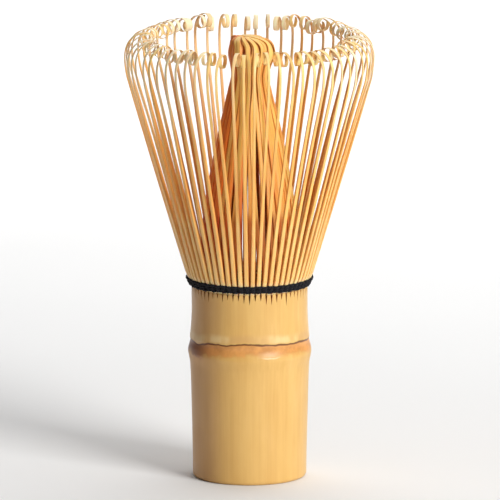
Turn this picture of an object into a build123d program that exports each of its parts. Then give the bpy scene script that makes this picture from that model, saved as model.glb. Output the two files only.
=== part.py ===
from build123d import *

import os
from math import atan, cos, radians, sin, tan

# A bamboo tea whisk: one split culm, with a smooth handle below, two rings of tines above,
# and a thread laced round and between the rings where they part.
# Millimetres, +Z up, with the origin at the centre of the handle's lower end.

# The whole whisk
OVERALL_HEIGHT = 109.8
RING_RADIUS = 30.6
SEGMENTS = 16
TINES_PER_SEGMENT = 4

# The culm. Points on its skin are (radius, height), from the foot of the handle up to the slits
BASE_RADIUS = 13.85
WALL_MIDDLE = (14.15, 15.0)
NODE_START = (14.58, 28.2)
NODE_CREST = (15.03, 31.0)
SCAR_START = (14.75, 32.6)
SCAR_FLOOR = (14.5, 33.5)
SCAR_END = (14.55, 34.8)
NECK_MIDDLE = (14.2, 38.6)
SHOULDER_OUTER = 14.12
SHOULDER_INNER = 11.7
SHOULDER_HEIGHT = 43.2
BORE_RADIUS = 10.0
SEPTUM_HEIGHT = 29.0
SEPTUM_THICKNESS = 2.4
CUP_RADIUS = 10.4
LOWER_EDGE_ROUNDING = 1.0
BORE_EDGE_ROUNDING = 0.5

# The split roots of the tines, which end behind the thread
ROOT_TOP = 47.6
ROOT_PARTING = 13.0
OUTER_ROOT_THICKNESS = 1.0
INNER_ROOT_OUTER = 12.5
INNER_ROOT_THICKNESS = 0.9
OUTER_SLIT_WIDTH = 0.45
INNER_SLIT_WIDTH = 0.5
SLIT_BOTTOM = 43.5
SLIT_SHOULDER = 45.2
SLIT_REACH = 15.0

# The tines' feet, with a running gap above the roots that lets them flex
FOOT_HEIGHT = 47.85

# Outer tines
OUTER_TINE_WIDTH = 1.0
OUTER_TIP_THICKNESS = 0.3
TINE_LEAN = 16.4
BELLY_RADIUS = 21.0
CROWN_RADIUS = 5.4
CURL_RADIUS = 1.85
CURL_TURN = 280
FLARE_HEIGHT = 50.3

# Inner tines
INNER_TINE_ARC = 3.6
INNER_TIP_THICKNESS = 0.35
WAIST_RADIUS = 9.45
WAIST_HEIGHT = 76.0
NECK_RADIUS = 4.5
NECK_HEIGHT = 99.0
DOME_SIDE = (5.3, 103.4)
DOME_TOP = (2.9, 109.0)
DOME_END = (1.5, 107.2)

# Lacing thread
THREAD_RADIUS = 0.34
THREAD_CLEARANCE = 0.1
THREAD_HEIGHTS = {"lower": 47.05, "middle": 47.81, "upper": 48.57}
LACING_RADIUS = 12.85
LACING_THREAD_RADIUS = 0.2
LACING_HEIGHT = 48.1

pitch_angle = 360 / (SEGMENTS * TINES_PER_SEGMENT)
segment_angle = 360 / SEGMENTS
top_centre_height = OVERALL_HEIGHT - CROWN_RADIUS
belly_centre = (RING_RADIUS - BELLY_RADIUS, top_centre_height)
crown_centre = (RING_RADIUS - CROWN_RADIUS, top_centre_height)
curl_centre = (RING_RADIUS - CROWN_RADIUS, OVERALL_HEIGHT - CURL_RADIUS)

belly_start_radius = belly_centre[0] + BELLY_RADIUS * cos(radians(TINE_LEAN))
belly_start_height = belly_centre[1] - BELLY_RADIUS * sin(radians(TINE_LEAN))
flare_radius = belly_start_radius - (belly_start_height - FLARE_HEIGHT) * tan(radians(TINE_LEAN))


def radial_plane(angle):
    """The upright half-plane at an angle about Z: local x runs outwards and local y runs up."""
    outwards = (cos(radians(angle)), sin(radians(angle)), 0)
    across = (sin(radians(angle)), -cos(radians(angle)), 0)
    return Plane(origin=(0, 0, 0), x_dir=outwards, z_dir=across)


def tine_angle(segment, tine, row_offset):
    """Where a tine stands: a segment's tines lie evenly about the segment's middle."""
    middle = segment * segment_angle
    return middle + (tine - (TINES_PER_SEGMENT - 1) / 2 + row_offset) * pitch_angle


def course_radius(height):
    """Where a course of thread lies against the outer row, which leans out above its feet."""
    rise = max(height - FOOT_HEIGHT, 0)
    lean = atan((flare_radius - SHOULDER_OUTER) / (FLARE_HEIGHT - FOOT_HEIGHT)) if rise else 0
    return SHOULDER_OUTER + rise * tan(lean) + (THREAD_RADIUS + THREAD_CLEARANCE) / cos(lean)


def cage_face(foot_inset, tip_inset):
    """One face of an outer tine, from its foot to the end of its curl; gives both ends."""
    curl = CenterArc(curl_centre, CURL_RADIUS - tip_inset, 90, CURL_TURN)
    CenterArc(crown_centre, CROWN_RADIUS - tip_inset, 0, 90)
    belly = CenterArc(belly_centre, BELLY_RADIUS - tip_inset, -TINE_LEAN, TINE_LEAN)
    flare = Line((flare_radius - foot_inset, FLARE_HEIGHT), belly @ 0)
    foot = Line((SHOULDER_OUTER - foot_inset, FOOT_HEIGHT), flare @ 0)
    return foot @ 0, curl @ 1


def bunch_face(foot_inset, tip_inset):
    """One face of an inner tine, from its foot over the dome; gives both ends."""
    foot_point = (INNER_ROOT_OUTER - foot_inset, FOOT_HEIGHT)
    waist_point = (WAIST_RADIUS - (foot_inset + tip_inset) / 2, WAIST_HEIGHT)
    neck_point = (NECK_RADIUS - tip_inset, NECK_HEIGHT)
    side_point = (DOME_SIDE[0] - tip_inset, DOME_SIDE[1])
    top_point = (DOME_TOP[0], DOME_TOP[1] - tip_inset)
    end_point = (DOME_END[0] + tip_inset, DOME_END[1])
    body = ThreePointArc(foot_point, waist_point, neck_point)
    neck = TangentArc(neck_point, side_point, tangent=body % 1)
    dome = TangentArc(side_point, top_point, tangent=neck % 1)
    end = TangentArc(top_point, end_point, tangent=dome % 1)
    return body @ 0, end @ 1


def slit_tool(inner_radius, outer_radius, width):
    """A pointed slot that parts two neighbouring roots, lying along +X."""
    with BuildPart() as tool:
        with BuildSketch(Plane.YZ.offset(inner_radius)):
            with BuildLine():
                Polyline(
                    (0, SLIT_BOTTOM),
                    (width / 2, SLIT_SHOULDER),
                    (width / 2, FOOT_HEIGHT),
                    (-width / 2, FOOT_HEIGHT),
                    (-width / 2, SLIT_SHOULDER),
                    close=True,
                )
            make_face()
        extrude(amount=outer_radius - inner_radius)
    return tool.part


def hand_over(solid, name):
    solid.label = name
    export_step(solid, f"parts/{name}.step")


os.makedirs("parts", exist_ok=True)

# The handle: the culm with its node, septum, bore and cup, and the roots of both rows of tines
outer_slit = slit_tool(ROOT_PARTING, SLIT_REACH, OUTER_SLIT_WIDTH)
inner_slit = slit_tool(CUP_RADIUS, ROOT_PARTING, INNER_SLIT_WIDTH)

with BuildPart() as handle:
    with BuildSketch(Plane.XZ):
        with BuildLine():
            ThreePointArc((BASE_RADIUS, 0), WALL_MIDDLE, NODE_START)
            ThreePointArc(NODE_START, NODE_CREST, SCAR_START)
            ThreePointArc(SCAR_START, SCAR_FLOOR, SCAR_END)
            ThreePointArc(SCAR_END, NECK_MIDDLE, (SHOULDER_OUTER, SHOULDER_HEIGHT))
            Polyline(
                (SHOULDER_OUTER, SHOULDER_HEIGHT),
                (SHOULDER_INNER, SHOULDER_HEIGHT),
                (CUP_RADIUS, SEPTUM_HEIGHT + SEPTUM_THICKNESS),
                (0, SEPTUM_HEIGHT + SEPTUM_THICKNESS),
                (0, SEPTUM_HEIGHT),
                (BORE_RADIUS, SEPTUM_HEIGHT),
                (BORE_RADIUS, 0),
                (BASE_RADIUS, 0),
            )
        make_face()
    revolve(axis=Axis.Z)
    rims = handle.edges().filter_by(GeomType.CIRCLE).group_by(Axis.Z)[0]
    fillet(rims.sort_by(SortBy.RADIUS)[-1], LOWER_EDGE_ROUNDING)
    rims = handle.edges().filter_by(GeomType.CIRCLE).group_by(Axis.Z)[0]
    fillet(rims.sort_by(SortBy.RADIUS)[0], BORE_EDGE_ROUNDING)
    with BuildSketch(Plane.XZ):
        with BuildLine():
            Polyline(
                (ROOT_PARTING, SHOULDER_HEIGHT),
                (SHOULDER_OUTER, SHOULDER_HEIGHT),
                (SHOULDER_OUTER, ROOT_TOP),
                (SHOULDER_OUTER - OUTER_ROOT_THICKNESS, ROOT_TOP),
                close=True,
            )
        make_face()
        with BuildLine():
            Polyline(
                (SHOULDER_INNER, SHOULDER_HEIGHT),
                (ROOT_PARTING, SHOULDER_HEIGHT),
                (INNER_ROOT_OUTER, ROOT_TOP),
                (INNER_ROOT_OUTER - INNER_ROOT_THICKNESS, ROOT_TOP),
                close=True,
            )
        make_face()
    revolve(axis=Axis.Z)
    with PolarLocations(0, SEGMENTS * TINES_PER_SEGMENT, start_angle=0):
        add(outer_slit, mode=Mode.SUBTRACT)
    with PolarLocations(0, SEGMENTS * TINES_PER_SEGMENT, start_angle=pitch_angle / 2):
        add(inner_slit, mode=Mode.SUBTRACT)
hand_over(handle.part, "handle")

# The outer ring of tines, one node for each sixteenth of the culm
for segment in range(SEGMENTS):
    with BuildPart() as outer_tines:
        for tine in range(TINES_PER_SEGMENT):
            with BuildSketch(radial_plane(tine_angle(segment, tine, 0))):
                with BuildLine():
                    outer_foot, outer_tip = cage_face(0, 0)
                    inner_foot, inner_tip = cage_face(OUTER_ROOT_THICKNESS, OUTER_TIP_THICKNESS)
                    Line(outer_foot, inner_foot)
                    Line(outer_tip, inner_tip)
                make_face()
            extrude(amount=OUTER_TINE_WIDTH / 2, both=True)
    hand_over(outer_tines.part, f"outer_tines_{segment + 1:02d}")

# The inner bunch, half a pitch round from the outer ring, so that each tine stands behind a gap
for segment in range(SEGMENTS):
    with BuildPart() as inner_tines:
        for tine in range(TINES_PER_SEGMENT):
            middle = tine_angle(segment, tine, 0.5)
            with BuildSketch(radial_plane(middle - INNER_TINE_ARC / 2)):
                with BuildLine():
                    outer_foot, outer_tip = bunch_face(0, 0)
                    inner_foot, inner_tip = bunch_face(INNER_ROOT_THICKNESS, INNER_TIP_THICKNESS)
                    Line(outer_foot, inner_foot)
                    Line(outer_tip, inner_tip)
                make_face()
            revolve(axis=Axis.Z, revolution_arc=INNER_TINE_ARC)
    hand_over(inner_tines.part, f"inner_tines_{segment + 1:02d}")

# The thread: three courses laid round the outer row, and one laced between the two rows
for course, height in THREAD_HEIGHTS.items():
    with BuildPart() as thread_course:
        with BuildSketch(Plane.XZ):
            with Locations((course_radius(height), height)):
                Circle(THREAD_RADIUS)
        revolve(axis=Axis.Z)
    hand_over(thread_course.part, f"thread_{course}_course")

with BuildPart() as lacing:
    with BuildSketch(Plane.XZ):
        with Locations((LACING_RADIUS, LACING_HEIGHT)):
            Circle(LACING_THREAD_RADIUS)
    revolve(axis=Axis.Z)
hand_over(lacing.part, "thread_between_rows")
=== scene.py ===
import math
import random

import bpy
import numpy as np
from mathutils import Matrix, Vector


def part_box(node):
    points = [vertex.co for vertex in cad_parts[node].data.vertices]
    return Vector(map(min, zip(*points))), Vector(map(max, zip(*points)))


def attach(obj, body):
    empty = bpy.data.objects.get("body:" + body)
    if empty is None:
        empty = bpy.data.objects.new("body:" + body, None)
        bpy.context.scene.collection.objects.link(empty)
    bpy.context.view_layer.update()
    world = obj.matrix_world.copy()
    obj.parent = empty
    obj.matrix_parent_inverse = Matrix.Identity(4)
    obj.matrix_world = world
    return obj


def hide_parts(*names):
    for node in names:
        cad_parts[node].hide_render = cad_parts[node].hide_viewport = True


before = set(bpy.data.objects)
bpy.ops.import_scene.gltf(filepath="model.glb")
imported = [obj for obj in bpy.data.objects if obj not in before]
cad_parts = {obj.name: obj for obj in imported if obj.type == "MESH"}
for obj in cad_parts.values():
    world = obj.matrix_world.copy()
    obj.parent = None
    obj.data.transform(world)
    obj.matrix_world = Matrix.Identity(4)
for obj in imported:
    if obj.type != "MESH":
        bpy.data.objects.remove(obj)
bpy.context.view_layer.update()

# The looks of a bamboo tea whisk: one culm, split into curled outer tines and a gathered inner bunch, and
# laced with thread. Lengths are in millimetres until a mesh is made. Angles round the whisk are measured
# from its right side, and the camera is at 270 degrees.
MM = 0.001
rng = random.Random(41)

# ---------------------------------------------------------------- sizes
SEGMENTS = 16
PER_SEGMENT = 4
TINES = SEGMENTS * PER_SEGMENT
PITCH = 2 * math.pi / TINES
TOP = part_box("outer_tines_01")[1].z / MM
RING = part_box("outer_tines_01")[1].x / MM
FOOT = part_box("outer_tines_01")[0].z / MM
ROOT_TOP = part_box("handle")[1].z / MM
BUNCH_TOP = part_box("inner_tines_01")[1].z / MM
DOME_RISE = 0.5  # the dome stands this much higher than the CAD one, as in the photo

SKIN_RADIUS = 14.15  # of the culm where the tines begin
LEAN = math.radians(16.4)  # of an outer tine from upright, over its long straight part
FOOT_LEAN = math.radians(29.2)
BELLY = 21.0  # radius of the bend back to upright
CROWN = 5.4  # radius of the bend inwards at the top
CURL = 1.85
CURL_STEPS = 36
HEEL_IN, HEEL_DOWN = 0.31, 0.55  # the foot starts behind the thread, below the tops of the roots
FOOT_LENGTH = 2.03
FOOT_BEND = 2.9  # length of the bend from the foot's lean to the straight part's


# ---------------------------------------------------------------- curves and meshes
def smooth(x, low, high):
    """0 below low, 1 above high, and an even rise between."""
    t = np.clip((np.asarray(x, float) - low) / (high - low), 0, 1)
    return t * t * (3 - 2 * t)


def catmull(points, per_span):
    """A smooth curve through points."""
    points = np.asarray(points, float)
    padded = np.vstack([2 * points[0] - points[1], points, 2 * points[-1] - points[-2]])
    out = []
    for i in range(len(points) - 1):
        a, b, c, d = padded[i : i + 4]
        t = np.linspace(0, 1, per_span, endpoint=False)[:, None]
        bend = (2 * a - 5 * b + 4 * c - d) * t**2 + (3 * b - a - 3 * c + d) * t**3
        out.append(0.5 * (2 * b + (c - a) * t + bend))
    return np.vstack([*out, points[-1:]])


def path_length(path):
    """The length along a path, from its start to each of its points."""
    return np.r_[0, np.cumsum(np.linalg.norm(np.diff(path, axis=0), axis=1))]


def radial(angle, r, z, offset):
    """Points at radius r and height z in the upright plane at an angle, moved sideways by offset."""
    x = r * np.cos(angle) - offset * np.sin(angle)
    y = r * np.sin(angle) + offset * np.cos(angle)
    return np.stack([x, y, z], axis=1)


def sideways(angle):
    """Directions across the upright planes at the given angles."""
    return np.stack([-np.sin(angle), np.cos(angle), np.zeros(len(angle))], axis=1)


def towards(angle, degrees):
    """1 at the given place round the whisk, falling to 0 a quarter turn away."""
    return max(math.cos(angle - math.radians(degrees)), 0)


def mesh_object(name, points, faces, body, nodes, material, fields, sharp=40):
    """A mesh piece from points in millimetres, which rides on a body and replaces CAD nodes."""
    mesh = bpy.data.meshes.new(name)
    mesh.from_pydata((np.asarray(points) * MM).tolist(), [], faces)
    for key, values in fields.items():
        values = np.asarray(values, np.float32)
        kind = "FLOAT" if values.ndim == 1 else "FLOAT_VECTOR"
        attribute = mesh.attributes.new(key, kind, "POINT")
        attribute.data.foreach_set("value" if kind == "FLOAT" else "vector", values.ravel())
    mesh.update()
    mesh.shade_smooth()
    mesh.set_sharp_from_angle(angle=math.radians(sharp))
    piece = bpy.data.objects.new(name, mesh)
    bpy.context.scene.collection.objects.link(piece)
    mesh.materials.append(material)
    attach(piece, body)
    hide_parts(*nodes)


class Strips:
    """Gathers split-bamboo strips into one mesh.

    Each point carries four fields for the material: grain is its place in the unbent strip, along runs from
    0 at the foot to 1 at the tip, tone_and_shade differs at random from strip to strip and in the bunch also
    carries painted shade, and edge is 1 off the skin.
    """

    # across the strip from -0.5 to 0.5, and through it from the skin (0) to the inner face (1)
    SECTION = np.array(
        [
            (-0.5, 0.22), (-0.43, 0.06), (-0.2, 0.0), (0.2, 0.0), (0.43, 0.06), (0.5, 0.22),
            (0.5, 0.78), (0.44, 0.95), (0.2, 1.0), (-0.2, 1.0), (-0.44, 0.95), (-0.5, 0.78),
        ]
    )

    def __init__(self):
        self.points = []
        self.faces = []
        self.fields = {"grain": [], "along": [], "tone_and_shade": [], "edge": []}
        self.count = 0

    def add(self, path, side, width, depth, tone_and_shade):
        """One strip: path runs along the middle of its outer face and side points across it."""
        run = np.gradient(path, axis=0)
        run /= np.linalg.norm(run, axis=1)[:, None]
        side = side - (side * run).sum(1)[:, None] * run
        side /= np.linalg.norm(side, axis=1)[:, None]
        outwards = np.cross(side, run)
        stations, around = len(path), len(self.SECTION)
        u, v = self.SECTION[:, 0], self.SECTION[:, 1]
        across = width[:, None] * u[None, :]
        through = depth[:, None] * v[None, :]
        ring = path[:, None] + across[:, :, None] * side[:, None] - through[:, :, None] * outwards[:, None]
        self.points.append(ring.reshape(-1, 3))

        length = path_length(path)
        seed = rng.uniform(0, 400)
        grain = np.stack([across + seed, np.repeat(length[:, None], around, 1), through + 2 * seed], axis=2)
        # the split sides and inner face get a darker, duller colour: partly the split wood's own colour,
        # partly painted shade for the shadowed sides between tines
        dull_and_shaded = np.where(v > 0.5, 1.0, smooth(np.abs(u) + 0.3 * v, 0.36, 0.56))
        self.fields["grain"].append(grain.reshape(-1, 3))
        self.fields["along"].append(np.repeat(length / length[-1], around))
        self.fields["tone_and_shade"].append(np.full(stations * around, tone_and_shade))
        self.fields["edge"].append(np.tile(dull_and_shaded, stations))

        first, last = self.count, self.count + (stations - 1) * around
        for a in range(first, last, around):
            for j in range(around):
                k = (j + 1) % around
                self.faces.append((a + j, a + k, a + around + k, a + around + j))
        self.faces.append(tuple(first + j for j in reversed(range(around))))
        self.faces.append(tuple(last + j for j in range(around)))
        self.count += stations * around

    def make(self, name, body, node, slot, material):
        """The mesh piece of all strips added so far."""
        fields = {key: np.concatenate(values) for key, values in self.fields.items()}
        points = np.concatenate(self.points)
        mesh_object(name, points, self.faces, body, [node], material, fields)


# ---------------------------------------------------------------- outer tines
def turtle(start_r, start_z, heading, stretches):
    """A path in the radial plane: each stretch has a length, a turn and a number of steps."""
    r, z = [start_r], [start_z]
    for length, turn, steps in stretches:
        for _ in range(steps):
            heading += turn / steps / 2
            r.append(r[-1] + math.sin(heading) * length / steps)
            z.append(z[-1] + math.cos(heading) * length / steps)
            heading += turn / steps / 2
    return np.array(r), np.array(z)


def outer_profile():
    """Radius and height along an outer tine, and the length from the start of its crown to its tip."""
    heel = (SKIN_RADIUS - HEEL_IN, FOOT - HEEL_DOWN, FOOT_LEAN)
    flare = LEAN - FOOT_LEAN
    foot_r, foot_z = turtle(*heel, [(FOOT_LENGTH, 0, 3), (FOOT_BEND, flare, 5)])
    belly_r = RING - BELLY * (1 - math.cos(LEAN))
    belly_z = TOP - CROWN - BELLY * math.sin(LEAN)
    straight = math.hypot(belly_r - foot_r[-1], belly_z - foot_z[-1]) + rng.gauss(0, 0.16)
    bow = rng.gauss(0, math.radians(0.9))
    lean_error = rng.gauss(0, math.radians(0.22))
    crown_grow = rng.uniform(0.93, 1.07)
    curl_radius = CURL * rng.uniform(0.84, 1.0)
    curl_turn = math.radians(rng.uniform(290, 350))
    curl = curl_radius * curl_turn
    r, z = turtle(
        *heel,
        [
            (FOOT_LENGTH, 0, 3),
            (FOOT_BEND, flare + lean_error + bow, 5),
            (straight, -2 * bow, 26),
            (BELLY * LEAN, -LEAN + bow - lean_error, 7),
            # the crown bends slowly at first
            (CROWN * 0.45 * crown_grow, -math.radians(21), 5),
            (CROWN * 1.12 * crown_grow, -math.radians(69), 11),
            # the curl is a little tighter in its second half
            (curl * 0.5, -curl_turn * 0.5, CURL_STEPS // 2),
            (curl * 0.46, -curl_turn * 0.5, CURL_STEPS // 2),
        ],
    )
    return r, z, curl * 0.96 + CROWN * 1.57


def outer_tine(strips, angle):
    """A tine of the outer row: foot, straight, belly, crown and a curl inwards, each a little different."""
    r, z, crown_length = outer_profile()
    step = np.arange(len(r))
    # the curl stands a little askew, and its end passes beside its start
    widest = int(np.argmax(r))
    skew = math.radians(max(-10, min(10, rng.gauss(0, 5))))
    inward = np.where(step > widest, r[widest] - r, 0)
    drift = rng.gauss(0, 0.2) * smooth(z, 60, 106)
    curled = np.clip((step - (len(r) - CURL_STEPS)) / CURL_STEPS, 0, 1)
    beside = rng.choice((-1, 1)) * 0.22 * curled**1.5
    path = radial(angle, r - inward * (math.cos(skew) - 1), z, drift + inward * math.sin(skew) + beside)
    side = sideways(angle + skew * smooth(step, widest - 8, widest + 8))
    length = np.r_[0, np.cumsum(np.hypot(np.diff(r), np.diff(z)))]
    end = length[-1]
    crown_at = end - crown_length
    # the curls on the right are broader
    ribbon = rng.uniform(0.75, 1.15) + 0.35 * towards(angle, 350) ** 2
    width = np.interp(
        length,
        [0, 6, 20, crown_at - 8, crown_at, crown_at + 4, crown_at + 9, end - 1.2, end],
        [1.08, 1.06, 0.95, 0.7, 0.62, 0.7, ribbon, ribbon, 0.6 * ribbon],
    ) * rng.uniform(0.93, 1.06)
    depth = np.interp(length, [0, 8, 30, crown_at, crown_at + 8, end], [1.0, 0.9, 0.58, 0.28, 0.14, 0.1])
    # towards the front right the curls are golden like the tines, elsewhere they are paler
    golden = towards(angle, 288) ** 1.5
    strips.add(path, side, width, depth, rng.random() * (1 - 0.85 * golden))


# ---------------------------------------------------------------- inner tines
# where the strips at the front of the dome part: angle in degrees, and by how much
PARTINGS = [(249, 0.5), (272, 0.95), (297, 0.6)]
TIPS_MEET = (-1.6, -0.3, 0.0)  # from the axis


def inner_tine(strips, angle, layer):
    """A tine of the bunch: it leans in to the neck, swells into the dome and curls over its top.

    Layer is 0 for the outermost tines of the bunch, 1 and 2 for those behind them.
    """
    # towards the front right the strips are broader and fuller, and the dome swells to the right
    right = math.cos(angle - math.radians(325))
    swell = math.cos(angle)
    deep = (0.36 - 0.14 * right) * layer + rng.uniform(0, 0.2)
    end_radius = rng.uniform(0.1, 1.7)
    top = BUNCH_TOP + DOME_RISE - 0.75 * deep
    spread = rng.gauss(0, 0.2)
    # radius and height, from the foot over the dome to the tip
    shape = [
        (12.45, FOOT),
        (12.0 + spread * 0.3, 57),
        (11.15 + spread, 66),
        (9.75 + spread - deep * 0.3, 75.5),
        (7.6 + spread - deep * 0.7, 86),
        (5.3 - deep * 0.9, 96),
        (4.6 - deep + 0.1 * swell, 99.5),
        (5.0 - deep + 0.25 * swell, 102.3),
        (5.7 - deep * 0.95 + 0.45 * swell, 105.0 - deep * 0.4),
        (5.1 - deep * 0.7 + 0.25 * swell, top - 1.8 + 0.25 * swell),
        (3.3 + end_radius * 0.2, top - 0.5 + 0.25 * swell),
        (end_radius, top),
        (end_radius * 0.5, top - 1.5),
    ]
    curve = catmull(shape, 7)
    r, z = curve[:, 0], curve[:, 1]
    steps = np.linspace(0, 1, len(z))
    swirl = math.radians(rng.gauss(4, 4)) * smooth(z, 80, 102)
    sweep = math.radians(rng.gauss(4, 12)) * smooth(steps, 0.62, 0.95)
    offset = rng.gauss(0, 0.34) * smooth(z, 52, 76) * (1 - smooth(z, 90, 99))
    in_dome = smooth(steps, 0.6, 0.74) * (1 - smooth(steps, 0.8, 0.97))
    for place, amount in PARTINGS:
        away = angle - math.radians(place)
        near = math.exp(-abs(away) / 0.2)
        sweep = sweep * (1 - 0.85 * near)
        offset = offset + math.copysign(amount, away) * near * in_dome
    turn = angle + swirl + sweep
    path = radial(turn, r, z, offset) + smooth(steps, 0.72, 0.93)[:, None] * TIPS_MEET
    length = path_length(path)
    roll = math.radians(rng.gauss(0, 20)) * smooth(z, 55, 80) * np.cos(length / rng.uniform(14, 24))
    side = sideways(turn + roll)
    broad = 1.1 + 0.35 * max(right, 0)
    width = np.interp(
        length, [0, 12, 40, 52, 58, length[-1] - 2, length[-1]], [0.8, 0.92, 1.14, 0.94, broad, 0.9, 0.5]
    ) * rng.uniform(0.88, 1.12)
    depth = np.interp(length, [0, 10, 40, length[-1]], [0.85, 0.7, 0.34, 0.18])
    # painted shade: strips in the deeper layers and towards the left get more of the redder dull tint, strips
    # at the front right less, over a random tone
    tone_and_shade = rng.uniform(0.35, 1.0) - 0.22 * layer + 0.35 * right - 0.5 * towards(angle, 200)
    strips.add(path, side, width, depth, min(max(tone_and_shade, 0.0), 1.0))


# ---------------------------------------------------------------- materials
def srgb(value):
    """sRGB 0 to 255 as a linear colour."""
    out = []
    for channel in value:
        c = channel / 255
        out.append(c / 12.92 if c <= 0.04045 else ((c + 0.055) / 1.055) ** 2.4)
    return (*out, 1.0)


class Nodes:
    """A short way to build a material's node tree."""

    def __init__(self, name):
        self.material = bpy.data.materials.new(name)
        self.material.use_nodes = True
        self.tree = self.material.node_tree
        self.bsdf = self.tree.nodes["Principled BSDF"]

    def node(self, kind, **settings):
        made = self.tree.nodes.new(kind)
        for key, value in settings.items():
            setattr(made, key, value)
        return made

    def link(self, source, target):
        self.tree.links.new(source, target)

    def attribute(self, name):
        return self.node("ShaderNodeAttribute", attribute_name=name)

    def noise(self, vector, scale, detail=3.0, roughness=0.55, stretch=(1, 1, 1)):
        mapping = self.node("ShaderNodeMapping")
        mapping.inputs["Scale"].default_value = stretch
        self.link(vector, mapping.inputs["Vector"])
        noise = self.node("ShaderNodeTexNoise")
        noise.inputs["Scale"].default_value = scale
        noise.inputs["Detail"].default_value = detail
        noise.inputs["Roughness"].default_value = roughness
        self.link(mapping.outputs["Vector"], noise.inputs["Vector"])
        return noise.outputs["Fac"]

    def ramp(self, factor, stops):
        ramp = self.node("ShaderNodeValToRGB")
        elements = ramp.color_ramp.elements
        while len(elements) < len(stops):
            elements.new(0.5)
        for element, (position, colour) in zip(elements, stops):
            element.position = position
            element.color = colour
        self.link(factor, ramp.inputs["Fac"])
        return ramp.outputs["Color"]

    def rise(self, value, low, high, out_low=0.0, out_high=1.0):
        made = self.node("ShaderNodeMapRange", interpolation_type="SMOOTHSTEP")
        self.link(value, made.inputs["Value"])
        for key, number in (("From Min", low), ("From Max", high), ("To Min", out_low), ("To Max", out_high)):
            made.inputs[key].default_value = number
        return made.outputs["Result"]

    def mix(self, factor, first, second, blend="MIX"):
        made = self.node("ShaderNodeMix", data_type="RGBA", blend_type=blend)
        for key, value in ((0, factor), (6, first), (7, second)):
            if isinstance(value, (int, float, tuple)):
                made.inputs[key].default_value = value
            else:
                self.link(value, made.inputs[key])
        return made.outputs[2]

    def math(self, operation, first, second):
        made = self.node("ShaderNodeMath", operation=operation)
        for key, value in ((0, first), (1, second)):
            if isinstance(value, (int, float)):
                made.inputs[key].default_value = value
            else:
                self.link(value, made.inputs[key])
        return made.outputs[0]

    def bump(self, height, strength, distance_mm):
        made = self.node("ShaderNodeBump")
        made.inputs["Strength"].default_value = strength
        made.inputs["Distance"].default_value = distance_mm * MM
        self.link(height, made.inputs["Height"])
        self.link(made.outputs["Normal"], self.bsdf.inputs["Normal"])

    def mm_position(self):
        """The place on the piece in millimetres."""
        coordinates = self.node("ShaderNodeTexCoord")
        scale = self.node("ShaderNodeVectorMath", operation="SCALE")
        scale.inputs["Scale"].default_value = 1 / MM
        self.link(coordinates.outputs["Object"], scale.inputs[0])
        return scale.outputs[0]

    def mm_along(self, axis):
        """The place on the piece along X, Y or Z in millimetres."""
        split = self.node("ShaderNodeSeparateXYZ")
        self.link(self.mm_position(), split.inputs[0])
        return split.outputs[axis]


def tine_material(name, low, high, golden_tip, pale_tip, dull_and_shade_tint, edge_and_shade_tint, tip_from, foot_highlight):
    """Split bamboo: a colour low down, another above it, a paler tip, streaks along the grain, edges darkened
    partly as painted shade, a painted highlight on the feet and painted shade in the bunch's tone.
    """
    n = Nodes(name)
    grain = n.attribute("grain").outputs["Vector"]
    tone_and_shade = n.attribute("tone_and_shade").outputs["Fac"]
    along = n.attribute("along").outputs["Fac"]
    edge = n.attribute("edge").outputs["Fac"]
    fibre = n.noise(grain, 1.0, 4, 0.6, (7.0, 0.10, 7.0))
    blotch = n.noise(grain, 1.0, 2, 0.5, (0.7, 0.09, 0.7))
    height = n.mm_along("Z")
    colour = n.mix(n.rise(height, 64.5, 68.0), srgb(low), srgb(high))
    tip = n.mix(n.rise(tone_and_shade, 0.0, 0.45), srgb(golden_tip), srgb(pale_tip))
    colour = n.mix(n.rise(along, tip_from, tip_from + 0.36), colour, tip)
    # split sides and the inner face are a duller brown than the skin, partly their own colour and partly
    # painted shade for the shadowed sides between the tines
    colour = n.mix(n.math("MULTIPLY", edge, 0.6), colour, srgb(edge_and_shade_tint), "MULTIPLY")
    # painted highlight on the feet just above the thread, where the tines bulge out over it and catch the
    # light
    colour = n.mix(n.rise(height, 49.2, 51.5, foot_highlight, 0.0), colour, srgb((255, 238, 196)))
    streaks = n.ramp(
        fibre, [(0.3, srgb((226, 200, 170))), (0.5, srgb((246, 238, 228))), (0.66, (1, 1, 1, 1))]
    )
    colour = n.mix(0.5, colour, streaks, "MULTIPLY")
    patches = n.ramp(blotch, [(0.35, srgb((234, 208, 176))), (0.6, (1, 1, 1, 1))])
    colour = n.mix(0.45, colour, patches, "MULTIPLY")
    # each strip's own random tone; in the bunch a low tone_and_shade is also painted shade, in the redder
    # dull_and_shade_tint
    each = n.ramp(tone_and_shade, [(0.0, srgb(dull_and_shade_tint)), (0.45, srgb((252, 246, 240))), (1.0, (1, 1, 1, 1))])
    colour = n.mix(0.8, colour, each, "MULTIPLY")
    n.link(colour, n.bsdf.inputs["Base Color"])
    n.link(n.rise(fibre, 0.3, 0.7, 0.52, 0.36), n.bsdf.inputs["Roughness"])
    n.bsdf.inputs["Specular IOR Level"].default_value = 0.42
    n.bsdf.inputs["Subsurface Weight"].default_value = 0.3
    n.bsdf.inputs["Subsurface Radius"].default_value = (1.0, 0.5, 0.2)
    n.bsdf.inputs["Subsurface Scale"].default_value = 0.6 * MM
    n.bump(fibre, 0.25, 0.05)
    return n.material


def skin_colour(n, place, fibre, cloud):
    """Straw-coloured skin, with fine streaks and broad bands along the culm."""
    skin = n.ramp(
        cloud, [(0.3, srgb((219, 174, 99))), (0.55, srgb((223, 180, 105))), (0.75, srgb((227, 185, 113)))]
    )
    streaks = n.ramp(
        fibre, [(0.32, srgb((214, 186, 146))), (0.52, srgb((244, 236, 222))), (0.68, (1, 1, 1, 1))]
    )
    skin = n.mix(0.1, skin, streaks, "MULTIPLY")
    broad = n.noise(place, 1.0, 2, 0.5, (0.75, 0.75, 0.02))
    bands = n.ramp(broad, [(0.35, srgb((232, 212, 180))), (0.6, (1, 1, 1, 1))])
    return n.mix(0.22, skin, bands, "MULTIPLY")


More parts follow.
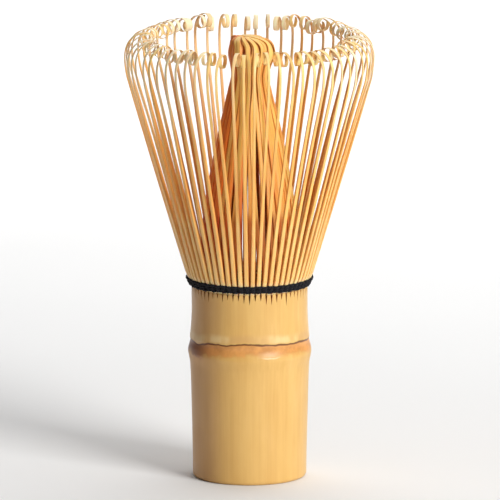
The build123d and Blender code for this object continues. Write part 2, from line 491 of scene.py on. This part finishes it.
def with_node(n, skin, place, cloud):
    """The skin with what the node adds: a band, the scar's dark line and a paler lip above it; and painted
    shade on the culm's left side.
    """
    offset = n.attribute("node_offset").outputs["Fac"]
    wobble = n.noise(place, 1.0, 3, 0.6, (0.35, 0.35, 0.35))
    # an orange-brown band from the scar down over the swelling, fading into the skin
    band_from = n.math("ADD", offset, n.rise(wobble, 0.2, 0.8, -0.9, 0.9))
    band = n.math("MULTIPLY", n.rise(band_from, -3.6, -2.0), n.rise(offset, -0.05, 0.15, 1.0, 0.0))
    band_colour = n.ramp(wobble, [(0.35, srgb((192, 121, 60))), (0.6, srgb((223, 150, 80)))])
    skin = n.mix(n.math("MULTIPLY", band, 0.75), skin, band_colour)
    # painted shade: the left side of the culm is darker and redder, most of all the end of the band
    across = n.mm_along("X")
    skin = n.mix(n.rise(across, -12.0, -4.0, 1.0, 0.0), skin, srgb((238, 223, 226)), "MULTIPLY")
    band_end_shade = n.math("MULTIPLY", band, n.rise(across, -14.0, -9.0, 0.7, 0.0))
    skin = n.mix(band_end_shade, skin, srgb((122, 80, 68)))
    # the line is thin in some places and wide in others
    line_width = n.rise(wobble, 0.3, 0.7, 0.24, 0.46)
    away = n.math("DIVIDE", n.math("ABSOLUTE", offset, 0), line_width)
    line = n.math("SUBTRACT", 1.0, n.math("MINIMUM", away, 1.0))
    skin = n.mix(n.math("MULTIPLY", n.rise(line, 0.0, 0.7), 0.9), skin, srgb((96, 54, 22)))
    lip = n.math("MULTIPLY", n.rise(offset, 0.2, 0.8), n.rise(offset, 1.4, 3.0, 1.0, 0.0))
    mottle = n.ramp(
        cloud, [(0.42, srgb((206, 160, 104))), (0.5, srgb((224, 184, 122))), (0.58, srgb((240, 214, 160)))]
    )
    return n.mix(n.math("MULTIPLY", lip, 0.5), skin, mottle)


def cut_colour(n, place):
    """Cut faces and the hollow: pale pith with dark fibre ends, and browner down in a slit."""
    specks = n.noise(place, 1.0, 2, 0.5, (2.6, 2.6, 2.6))
    pith = n.ramp(
        specks, [(0.4, srgb((196, 158, 104))), (0.5, srgb((226, 196, 142))), (0.7, srgb((238, 214, 164)))]
    )
    return n.mix(n.attribute("slit").outputs["Fac"], pith, srgb((206, 138, 76)))


def culm_material():
    """The culm: waxy skin with a node outside, dull pith inside."""
    n = Nodes("bamboo_culm")
    place = n.mm_position()
    inside = n.attribute("inside").outputs["Fac"]
    fibre = n.noise(place, 1.0, 4, 0.6, (3.2, 3.2, 0.05))
    fine = n.noise(place, 1.0, 3, 0.6, (9.0, 9.0, 0.18))
    cloud = n.noise(place, 1.0, 3, 0.55, (0.16, 0.16, 0.07))
    skin = with_node(n, skin_colour(n, place, fibre, cloud), place, cloud)
    n.link(n.mix(inside, skin, cut_colour(n, place)), n.bsdf.inputs["Base Color"])
    gloss = n.rise(cloud, 0.3, 0.7, 0.42, 0.36)
    n.link(n.mix(inside, gloss, (0.7, 0.7, 0.7, 1)), n.bsdf.inputs["Roughness"])
    n.bsdf.inputs["Specular IOR Level"].default_value = 0.5
    n.bsdf.inputs["Coat Weight"].default_value = 0.08
    n.bsdf.inputs["Coat Roughness"].default_value = 0.2
    n.bump(n.math("ADD", fine, n.math("MULTIPLY", fibre, 0.6)), 0.05, 0.03)
    return n.material


def thread_material():
    """Dark twisted cotton thread."""
    n = Nodes("black_thread")
    grain = n.attribute("grain").outputs["Vector"]
    fibre = n.noise(grain, 1.0, 4, 0.65, (9.0, 1.6, 9.0))
    colour = n.ramp(fibre, [(0.3, srgb((8, 7, 12))), (0.6, srgb((20, 18, 26))), (0.8, srgb((44, 42, 52)))])
    n.link(colour, n.bsdf.inputs["Base Color"])
    n.link(n.rise(fibre, 0.3, 0.7, 0.9, 0.7), n.bsdf.inputs["Roughness"])
    n.bsdf.inputs["Specular IOR Level"].default_value = 0.25
    n.bsdf.inputs["Sheen Weight"].default_value = 0.06
    n.bsdf.inputs["Sheen Roughness"].default_value = 0.5
    n.bump(fibre, 0.6, 0.05)
    return n.material


outer_bamboo = tine_material(
    "split_bamboo_outer",
    low=(255, 217, 143),
    high=(255, 208, 126),
    golden_tip=(255, 228, 156),
    pale_tip=(252, 244, 214),
    dull_and_shade_tint=(250, 240, 224),
    edge_and_shade_tint=(226, 196, 154),
    tip_from=0.48,
    foot_highlight=0.8,
)
inner_bamboo = tine_material(
    "split_bamboo_inner",
    low=(214, 140, 68),
    high=(255, 204, 110),
    golden_tip=(255, 214, 132),
    pale_tip=(255, 214, 132),
    dull_and_shade_tint=(246, 154, 92),
    edge_and_shade_tint=(236, 176, 118),
    tip_from=0.64,
    foot_highlight=0.0,
)
culm_bamboo = culm_material()
black_thread = thread_material()

# ---------------------------------------------------------------- the groups of tines
for segment in range(SEGMENTS):
    label = f"{segment + 1:02d}"
    middle = segment * 2 * math.pi / SEGMENTS
    cage, bunch = Strips(), Strips()
    for tine in range(PER_SEGMENT):
        place = tine - (PER_SEGMENT - 1) / 2
        outer_tine(cage, middle + place * PITCH)
        inner_tine(bunch, middle + (place + 0.5) * PITCH, (segment * PER_SEGMENT + tine) % 3)
    cage.make(
        f"cage_tines_{label}", f"outer_segment_{label}", f"outer_tines_{label}", "outer_tine", outer_bamboo
    )
    bunch.make(
        f"bunch_tines_{label}", f"inner_segment_{label}", f"inner_tines_{label}", "inner_tine", inner_bamboo
    )


# ---------------------------------------------------------------- handle
SCAR = 34.65
# the sheath scar runs unevenly round the node: angle in degrees, height in millimetres
SCAR_LINE = np.array(
    [
        (0, 34.6), (40, 34.3), (90, 34.1), (140, 34.35), (180, 34.3), (196, 34.35), (211, 34.05),
        (226, 34.8), (238, 34.97), (247, 34.88), (258, 35.2), (270, 35.4), (281, 35.16), (290, 35.0),
        (296, 34.9), (302, 34.97), (317, 34.76), (330, 34.8), (345, 34.65),
    ]
)


def scar_height(angle):
    """The height of the scar's line, with its small waves."""
    degrees = np.degrees(angle) % 360
    line = np.interp(degrees, SCAR_LINE[:, 0], SCAR_LINE[:, 1], period=360)
    return line + 0.05 * np.sin(11 * angle + 2) + 0.035 * np.sin(29 * angle) + 0.02 * np.sin(53 * angle + 1)


# radius of the skin against height, down the side of the culm
CULM_SHAPE = np.array(
    [
        (13.86, 0), (13.9, 5), (14.1, 14), (14.3, 22.3), (14.45, 26.3), (14.58, 28.6), (14.84, 30.0),
        (15.06, 31.3), (14.9, 32.5), (14.66, 33.4), (14.56, 34.1), (14.58, 35.1), (14.45, 36.2),
        (14.27, 38.3), (14.13, 41.3), (14.14, 44), (14.15, 48),
    ]
)


def skin_radius(z, angle):
    """The radius of the culm's skin: not quite round, with the scar's groove and a wrinkle at the front."""
    facing = np.clip(np.cos(angle - math.radians(285)), 0, 1) ** 2
    level = z + 0.35 * facing * smooth(z, 25, 30) * (1 - smooth(z, 34, 38))
    curve = catmull(CULM_SHAPE, 8)
    r = np.interp(level, curve[:, 1], curve[:, 0])
    from_scar = z - scar_height(angle)
    strength = 0.7 + 0.35 * np.sin(2 * angle + 0.4) + 0.2 * np.sin(5 * angle)
    # the skin slopes in to the scar from below and steps out sharply above it
    groove = np.where(from_scar < 0, np.exp(from_scar / 0.9), np.exp(-((from_scar / 0.1) ** 2)))
    r = r - 0.16 * np.clip(strength, 0.25, 1.2) * groove
    front = np.exp(-(((np.degrees(angle) % 360 - 291) / 15) ** 4))
    wrinkle = z - 31.7 - 0.1 * np.sin(17 * angle) - 0.05 * np.sin(41 * angle + 1)
    r = r + 0.05 * front * np.exp(-((wrinkle / 0.14) ** 2))
    out_of_round = 0.05 * np.sin(2 * angle + 1.3) + 0.03 * np.sin(3 * angle + 0.06 * z)
    return r + out_of_round + 0.012 * np.sin(11 * angle + 0.1 * z)


# the slits between the roots of the tines: heights, and widths as a share of the pitch
SLIT_MOUTH = 47.5
SLIT_POINT = 46.5
SLIT_HALF = 0.2
SLIT_SHOULDER = 0.04
CRACKED = (5, 22, 39, 55)  # slits that run on further down
ROOTS_FROM = 41.8  # from here up the rows of points follow the slits
BETWEEN_ROWS = 42.6  # floor of the gap between the two rows of roots
BOTTOM_EDGE = 0.9  # radius of the rounded bottom edge
# heights of the rows up to the roots, close together over the wrinkle and round the scar
BY_SCAR = [
    -1.3, -1.0, -0.75, -0.55, -0.4, -0.28, -0.19, -0.12, -0.06, 0,
    0.05, 0.1, 0.15, 0.21, 0.3, 0.45, 0.7, 1.0, 1.4,
]
LEVELS = np.r_[
    np.linspace(1.6, 27, 14), np.linspace(27.8, 31, 9), np.linspace(31.15, 32.25, 12), 32.7, 33.05,
    SCAR + np.array(BY_SCAR), 36.5, 37, np.linspace(37.8, ROOTS_FROM, 5),
]


def rim(from_slit, deepest):
    """The top of a row of roots: pointed slits between flat-topped fingers."""
    point = SLIT_POINT + deepest
    slope = point + (SLIT_MOUTH - point) * np.clip(from_slit / SLIT_HALF, 0, 1)
    return slope + (ROOT_TOP - slope) * np.clip((from_slit - SLIT_HALF) / SLIT_SHOULDER, 0, 1)


def handle_rows(angle, outer_rim, inner_rim):
    """The rows of points: radius, height, whether it is off the skin, and whether it is down in a slit."""
    for turn in np.linspace(math.pi / 2, 0, 6):
        z = BOTTOM_EDGE * (1 - math.sin(turn))
        yield skin_radius(z, angle) - BOTTOM_EDGE * (1 - math.cos(turn)), z, float(turn > 1.2), 0
    for level in LEVELS:
        # near the scar the rows rise and fall with it
        z = level + (scar_height(angle) - SCAR) * smooth(level, 32, 33.3) * (1 - smooth(level, 36.1, 38))
        yield skin_radius(z, angle), z, 0, 0
    for part in np.linspace(0.08, 1, 9):
        z = ROOTS_FROM + part * (outer_rim - ROOTS_FROM)
        yield skin_radius(z, angle), z, 0, 0
    # over the outer roots, down between the rows, and over the inner roots
    yield skin_radius(outer_rim, angle) - 0.15, outer_rim, 1, 1
    yield 13.2, outer_rim, 1, 1
    yield 13.1, np.minimum(outer_rim, 44.6) - 1.2, 1, 1
    yield 13.0, BETWEEN_ROWS, 1, 1
    yield 12.65, BETWEEN_ROWS, 1, 1
    yield 12.6, np.minimum(inner_rim, 44.6) - 1.2, 1, 1
    yield 12.5, inner_rim, 1, 1
    yield 11.6, inner_rim, 1, 0
    # the cup above the septum
    yield 11.65, 43.0, 1, 0
    for z in np.linspace(41, 32.8, 4):
        yield 10.4 + (z - 31.4) * 0.105 + 0.06 * np.sin(5 * angle + z), z, 1, 0
    # the septum's upper face and its lower face
    for r, z in ((10.2, 32.1), (9.6, 31.6), (8.4, 31.3), (6, 31.2), (3, 31.3), (0.01, 31.4)):
        yield r, z + 0.08 * np.sin(4 * angle) * min(r, 3) / 3, 1, 0
    for r, z in ((0.01, 28.9), (3, 28.95), (6, 29.0), (8.6, 28.8), (9.6, 28.3), (9.95, 27.4)):
        yield r, z, 1, 0
    # the bore, its chamfer and the cut end
    for z in np.linspace(26, 0.6, 6):
        yield 10.0 + 0.05 * np.sin(3 * angle + 0.2 * z), z, 1, 0
    for r, z in ((10.12, 0.25), (10.45, 0.0), (12.0, 0.0)):
        yield r, z, 1, 0


def handle_mesh():
    """The culm's points, faces and fields, from closed rows of points joined one to the next."""
    # places of the columns across one tine's pitch, closer together beside the slits
    half = [0.08, SLIT_HALF, SLIT_HALF + SLIT_SHOULDER, 0.32, 0.42]
    shares = np.array([0, *half, 0.5, *(1 - place for place in reversed(half))])
    columns = TINES * len(shares)
    share = np.tile(shares, TINES)
    pitch_number = np.repeat(np.arange(TINES), len(shares))
    angle = (pitch_number + share) * PITCH
    slit_depth = np.array([rng.uniform(-1.7, -0.2) for _ in range(TINES)])
    slit_depth[list(CRACKED)] -= 0.8
    nearest_slit = np.where(share > 0.5, pitch_number + 1, pitch_number) % TINES
    outer_rim = rim(np.minimum(share, 1 - share), slit_depth[nearest_slit])
    inner_rim = rim(np.abs(share - 0.5), 0)

    rows = [
        [np.broadcast_to(value, columns) for value in row]
        for row in handle_rows(angle, outer_rim, inner_rim)
    ]
    r, z, inside, slit = np.array(rows, float).transpose(1, 0, 2)
    points = np.stack([r * np.cos(angle), r * np.sin(angle), z], axis=2).reshape(-1, 3)
    node_offset = (z - scar_height(angle)[None, :]).ravel()
    faces = []
    for i in range(len(rows)):
        this, following = i * columns, (i + 1) % len(rows) * columns
        for j in range(columns):
            k = (j + 1) % columns
            faces.append((this + j, this + k, following + k, following + j))
    return points, faces, {"node_offset": node_offset, "inside": inside.ravel(), "slit": slit.ravel()}


handle_points, handle_faces, handle_fields = handle_mesh()
mesh_object(
    "bamboo_handle",
    handle_points,
    handle_faces,
    "whisk_handle",
    ["handle"],
    culm_bamboo,
    handle_fields,
    sharp=50,
)


# ---------------------------------------------------------------- lacing thread
def cord_ring(line, strand_radius, plies=3, twist=1.5, around=7):
    """Points, grain and faces of a closed twisted cord along a closed line of points."""
    points, grain, faces = [], [], []
    run = np.roll(line, -1, axis=0) - np.roll(line, 1, axis=0)
    run /= np.linalg.norm(run, axis=1)[:, None]
    up = np.tile((0.0, 0.0, 1.0), (len(line), 1))
    out = np.cross(run, up)
    out /= np.linalg.norm(out, axis=1)[:, None]
    up = np.cross(out, run)
    steps = np.linalg.norm(np.roll(line, -1, axis=0) - line, axis=1)
    length = np.r_[0, np.cumsum(steps)][:-1]
    total = steps.sum()
    turns = round(total / twist)
    theta = np.linspace(0, 2 * math.pi, around, endpoint=False)
    across, above = strand_radius * np.cos(theta), strand_radius * np.sin(theta)
    for strand in range(plies):
        phase = 2 * math.pi * (turns * length / total + strand / plies)
        centre = line + strand_radius * 0.6 * (np.cos(phase)[:, None] * out + np.sin(phase)[:, None] * up)
        ring = centre[:, None] + across[None, :, None] * out[:, None] + above[None, :, None] * up[:, None]
        points.append(ring.reshape(-1, 3))
        unbent = np.broadcast_arrays(across + strand * 9, length[:, None], above)
        grain.append(np.stack(unbent, axis=2).reshape(-1, 3))
        base = strand * len(line) * around
        for i in range(len(line)):
            a, b = base + i * around, base + (i + 1) % len(line) * around
            for j in range(around):
                k = (j + 1) % around
                faces.append((a + j, b + j, b + k, a + k))
    return np.concatenate(points), np.concatenate(grain), faces


def thread_course(name, node, radius, height, strand_radius, bump, phase):
    """One course of thread: it bulges over each tine and sinks into each gap."""
    angle = np.linspace(0, 2 * math.pi, 1280, endpoint=False)
    over = np.cos(angle / PITCH * 2 * math.pi + math.pi)
    wander = 0.04 * np.sin(3 * angle + phase) + 0.03 * np.sin(8 * angle + 2 * phase)
    wander = wander + 0.2 * np.sin(angle) ** 2
    r = radius + bump * (over - 0.6)
    z = height + wander + 0.07 * np.sin(angle / PITCH * math.pi + phase)
    points, grain, faces = cord_ring(radial(angle, r, z, 0), strand_radius)
    mesh_object(
        name, points, faces, "whisk_handle", [node], black_thread, {"grain": grain}, sharp=60
    )


# name, radius, height and phase of the small waves
COURSES = (
    ("lower", 14.64, 48.18, 0.0),
    ("middle", 14.95, 48.8, 1.7),
    ("upper", 15.24, 49.42, 3.1),
)
for course, radius, height, phase in COURSES:
    thread_course(f"lacing_{course}", f"thread_{course}_course", radius, height, 0.25, 0.14, phase)
thread_course("lacing_between_rows", "thread_between_rows", 12.72, 48.1, 0.12, 0.0, 0.5)


# ---------------------------------------------------------------- stage, lights and camera
def make_floor():
    """A wide, flat, pale floor."""
    reach = 6.0
    corners = [(-reach, -reach, 0), (reach, -reach, 0), (reach, reach, 0), (-reach, reach, 0)]
    mesh = bpy.data.meshes.new("floor")
    mesh.from_pydata(corners, [], [(0, 1, 2, 3)])
    floor = bpy.data.objects.new("floor", mesh)
    bpy.context.scene.collection.objects.link(floor)
    n = Nodes("pale_floor")
    cloud = n.noise(n.mm_position(), 0.004, 2, 0.5)
    paint = n.ramp(cloud, [(0.3, (0.78, 0.78, 0.78, 1)), (0.7, (0.82, 0.82, 0.82, 1))])
    n.link(paint, n.bsdf.inputs["Base Color"])
    n.bsdf.inputs["Roughness"].default_value = 0.9
    n.bsdf.inputs["Specular IOR Level"].default_value = 0.1
    mesh.materials.append(n.material)


def area_light(name, place, aim, size, power, colour=(1, 1, 1)):
    """A soft light, in metres and watts, which the camera doesn't see."""
    data = bpy.data.lights.new(name, "AREA")
    data.shape = "RECTANGLE"
    data.size, data.size_y = size
    data.energy = power
    data.color = colour
    lamp = bpy.data.objects.new(name, data)
    bpy.context.scene.collection.objects.link(lamp)
    lamp.location = place
    lamp.rotation_euler = (Vector(aim) - Vector(place)).to_track_quat("-Z", "Y").to_euler()
    lamp.visible_camera = False


def make_world(strength):
    """An even white surrounding."""
    scene_world = bpy.data.worlds.new("soft_room")
    scene_world.use_nodes = True
    background = scene_world.node_tree.nodes["Background"]
    background.inputs["Color"].default_value = (1.0, 1.0, 1.0, 1)
    background.inputs["Strength"].default_value = strength
    bpy.context.scene.world = scene_world


# the photo's view, in metres
ELEVATION = math.radians(11.3)
DISTANCE = 5.0
FRAME_WIDTH = 0.1223


def make_camera():
    """A camera in front of the whisk, far away and with a long lens."""
    aim = Vector((0.0001, 0, 0.0561))
    data = bpy.data.cameras.new("camera")
    data.sensor_width = 36
    data.lens = 36 * DISTANCE / FRAME_WIDTH
    data.clip_end = 20
    eye = bpy.data.objects.new("camera", data)
    bpy.context.scene.collection.objects.link(eye)
    eye.location = aim + DISTANCE * Vector((0, -math.cos(ELEVATION), math.sin(ELEVATION)))
    eye.rotation_euler = (aim - eye.location).to_track_quat("-Z", "Y").to_euler()
    bpy.context.scene.camera = eye


make_floor()
make_world(0.04)
area_light("key", (0.728, -0.808, 0.567), (0, 0, 0.06), (0.5, 0.5), 15.7, (1.0, 0.99, 0.97))
area_light("overhead", (0.35, 0.15, 1.55), (0, 0.1, 0), (1.2, 1.2), 7.0)
area_light("backdrop", (0.1, 0.62, 0.55), (0.1, 0.62, 0), (1.4, 0.6), 6.5)
make_camera()
bpy.context.scene.view_settings.view_transform = "Standard"
